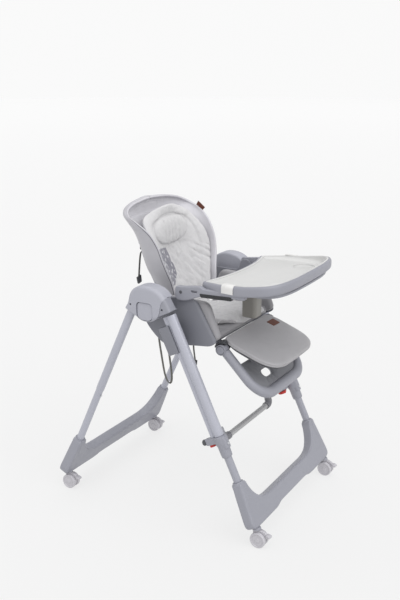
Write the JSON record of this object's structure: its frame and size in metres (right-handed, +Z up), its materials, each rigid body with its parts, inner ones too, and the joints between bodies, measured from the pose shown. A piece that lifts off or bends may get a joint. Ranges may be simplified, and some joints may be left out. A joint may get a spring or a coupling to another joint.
{
  "type": "baby high chair",
  "caption": "Folding high chair on castors with a padded seat that slides on its legs, a reclining back, calf rest, footrest and removable tray.",
  "frame": {"origin": "on the floor under the middle of the chair", "axes": "+Z up, the chair faces -Y, +X is the side on the left hand of the child in it"},
  "size_m": [0.6128, 0.8362, 1.03],
  "materials": {
    "plastic": "satin lavender grey",
    "paint": "satin lavender grey powder coat",
    "bar": "satin grey",
    "dark_plastic": "matt dark grey",
    "red_plastic": "semi-gloss red",
    "caster_plastic": "satin light grey",
    "steel": "plain",
    "leather": "smooth light grey",
    "cloth": "soft off-white",
    "white_plastic": "semi-gloss white",
    "beige_plastic": "satin beige",
    "webbing": "woven dark olive grey"
  },
  "bodies": {
    "front_frame": {"front_leg_left": "paint", "front_leg_right": "paint", "front_socket_left": "plastic", "front_socket_right": "plastic", "lower_leg_left": "paint", "lower_leg_right": "paint", "leg_clamp_left": "plastic", "leg_clamp_right": "plastic", "crossbar": "bar", "crossbar_elbow_left": "dark_plastic", "crossbar_elbow_right": "dark_plastic", "front_foot": "plastic"},
    "rear_frame": {"hub_casing_left": "plastic", "hub_casing_right": "plastic", "hub_pin_left": "steel", "hub_pin_right": "steel", "rear_leg_left": "paint", "rear_leg_right": "paint", "rear_foot": "plastic"},
    "seat": {"seat_pan": "plastic", "side_shell_left": "plastic", "side_shell_right": "plastic", "carriage_left": "plastic", "carriage_right": "plastic", "seat_pad": "leather", "recline_axle": "steel", "seat_strap": "webbing", "loop_strap": "webbing"},
    "back": {"back_shell": "plastic", "back_pad": "leather", "liner": "cloth", "back_strap": "webbing"},
    "recline_handle": {"recline_handle": "dark_plastic"},
    "calf_rest": {"calf_board": "dark_plastic", "calf_pad": "leather"},
    "footrest": {"footrest_loop": "plastic", "foot_plate": "dark_plastic"},
    "arms": {"tray_arm_left": "plastic", "tray_arm_right": "plastic"},
    "tray": {"tray_base": "plastic", "crotch_post": "beige_plastic"},
    "tray_top": {"tray_top": "white_plastic"},
    "release_lever_left": {"release_lever_left": "red_plastic"},
    "hub_button_left": {"hub_button_left": "plastic"},
    "tray_clip_left": {"tray_clip_left": "white_plastic"},
    "release_lever_right": {"release_lever_right": "red_plastic"},
    "hub_button_right": {"hub_button_right": "plastic"},
    "tray_clip_right": {"tray_clip_right": "white_plastic"},
    "front_left_caster": {"front_caster_body_left": "caster_plastic"},
    "front_left_wheels": {"front_caster_wheels_left": "caster_plastic"},
    "front_left_brake": {"front_caster_brake_left": "caster_plastic"},
    "front_right_caster": {"front_caster_body_right": "caster_plastic"},
    "front_right_wheels": {"front_caster_wheels_right": "caster_plastic"},
    "front_right_brake": {"front_caster_brake_right": "caster_plastic"},
    "rear_left_caster": {"rear_caster_body_left": "caster_plastic"},
    "rear_left_wheels": {"rear_caster_wheels_left": "caster_plastic"},
    "rear_left_brake": {"rear_caster_brake_left": "caster_plastic"},
    "rear_right_caster": {"rear_caster_body_right": "caster_plastic"},
    "rear_right_wheels": {"rear_caster_wheels_right": "caster_plastic"},
    "rear_right_brake": {"rear_caster_brake_right": "caster_plastic"}
  },
  "joints": [
    {"name": "rear_fold", "type": "hinge", "parent": "front_frame", "child": "rear_frame", "pos_m": [0, 0.02992, 0.742], "axis": [-1, 0, 0], "range_deg": [0, 48]},
    {"name": "seat_height", "type": "slide", "parent": "front_frame", "child": "seat", "axis": [0, -0.4274, -0.9041], "range_m": [0, 0.185]},
    {"name": "back_recline", "type": "hinge", "parent": "seat", "child": "back", "pos_m": [0, 0.07192, 0.65], "axis": [-1, 0, 0], "range_deg": [0, 30]},
    {"name": "recline_handle_lift", "type": "slide", "parent": "back", "child": "recline_handle", "axis": [0, 0, 1], "range_m": [0, 0.012], "stiffness_N_per_m": 400},
    {"name": "calf_tilt", "type": "hinge", "parent": "seat", "child": "calf_rest", "pos_m": [0, -0.17908, 0.594], "axis": [1, 0, 0], "range_deg": [0, 40]},
    {"name": "footrest_tilt", "type": "hinge", "parent": "calf_rest", "child": "footrest", "pos_m": [0, -0.17908, 0.594], "axis": [1, 0, 0], "range_deg": [0, 15]},
    {"name": "arm_tilt", "type": "hinge", "parent": "seat", "child": "arms", "pos_m": [0, -0.06408, 0.779], "axis": [-1, 0, 0], "range_deg": [0, 70]},
    {"name": "tray_slide", "type": "slide", "parent": "arms", "child": "tray", "axis": [0, -1, 0], "range_m": [0, 0.08]},
    {"name": "tray_top_lift", "type": "slide", "parent": "tray", "child": "tray_top", "axis": [0, 0, 1], "range_m": [0, 0.06]},
    {"name": "tray_clip_left_turn", "type": "hinge", "parent": "tray", "child": "tray_clip_left", "pos_m": [0.25739, -0.23873, 0.806], "axis": [-0.166, 0.9861, 0], "range_deg": [0, 30]},
    {"name": "release_lever_left_turn", "type": "hinge", "parent": "front_frame", "child": "release_lever_left", "pos_m": [0.242, -0.21555, 0.30974], "axis": [0, -0.4274, -0.9041], "range_deg": [0, 15], "stiffness_Nm_per_rad": 0.6},
    {"name": "hub_button_left_push", "type": "slide", "parent": "rear_frame", "child": "hub_button_left", "axis": [-1, 0, 0], "range_m": [0, 0.006], "stiffness_N_per_m": 800},
    {"name": "tray_clip_right_turn", "type": "hinge", "parent": "tray", "child": "tray_clip_right", "pos_m": [-0.25739, -0.23873, 0.806], "axis": [-0.166, -0.9861, 0], "range_deg": [0, 30]},
    {"name": "release_lever_right_turn", "type": "hinge", "parent": "front_frame", "child": "release_lever_right", "pos_m": [-0.242, -0.21555, 0.30974], "axis": [0, 0.4274, 0.9041], "range_deg": [0, 15], "stiffness_Nm_per_rad": 0.6},
    {"name": "hub_button_right_push", "type": "slide", "parent": "rear_frame", "child": "hub_button_right", "axis": [1, 0, 0], "range_m": [0, 0.006], "stiffness_N_per_m": 800},
    {"name": "front_left_caster_swivel", "type": "hinge", "parent": "front_frame", "child": "front_left_caster", "pos_m": [0.276, -0.36708, 0.058], "axis": [0, 0, 1], "continuous": true},
    {"name": "front_left_wheels_spin", "type": "hinge", "parent": "front_left_caster", "child": "front_left_wheels", "pos_m": [0.276, -0.37708, 0.026], "axis": [1, 0, 0], "continuous": true},
    {"name": "front_left_brake_press", "type": "hinge", "parent": "front_left_caster", "child": "front_left_brake", "pos_m": [0.276, -0.40408, 0.042], "axis": [1, 0, 0], "range_deg": [0, 18]},
    {"name": "front_right_caster_swivel", "type": "hinge", "parent": "front_frame", "child": "front_right_caster", "pos_m": [-0.276, -0.36708, 0.058], "axis": [0, 0, 1], "continuous": true},
    {"name": "front_right_wheels_spin", "type": "hinge", "parent": "front_right_caster", "child": "front_right_wheels", "pos_m": [-0.276, -0.37708, 0.026], "axis": [1, 0, 0], "continuous": true},
    {"name": "front_right_brake_press", "type": "hinge", "parent": "front_right_caster", "child": "front_right_brake", "pos_m": [-0.276, -0.40408, 0.042], "axis": [1, 0, 0], "range_deg": [0, 18]},
    {"name": "rear_left_caster_swivel", "type": "hinge", "parent": "rear_frame", "child": "rear_left_caster", "pos_m": [0.276, 0.38992, 0.058], "axis": [0, 0, 1], "continuous": true},
    {"name": "rear_left_wheels_spin", "type": "hinge", "parent": "rear_left_caster", "child": "rear_left_wheels", "pos_m": [0.276, 0.37992, 0.026], "axis": [1, 0, 0], "continuous": true},
    {"name": "rear_left_brake_press", "type": "hinge", "parent": "rear_left_caster", "child": "rear_left_brake", "pos_m": [0.276, 0.35292, 0.042], "axis": [1, 0, 0], "range_deg": [0, 18]},
    {"name": "rear_right_caster_swivel", "type": "hinge", "parent": "rear_frame", "child": "rear_right_caster", "pos_m": [-0.276, 0.38992, 0.058], "axis": [0, 0, 1], "continuous": true},
    {"name": "rear_right_wheels_spin", "type": "hinge", "parent": "rear_right_caster", "child": "rear_right_wheels", "pos_m": [-0.276, 0.37992, 0.026], "axis": [1, 0, 0], "continuous": true},
    {"name": "rear_right_brake_press", "type": "hinge", "parent": "rear_right_caster", "child": "rear_right_brake", "pos_m": [-0.276, 0.35292, 0.042], "axis": [1, 0, 0], "range_deg": [0, 18]}
  ]
}
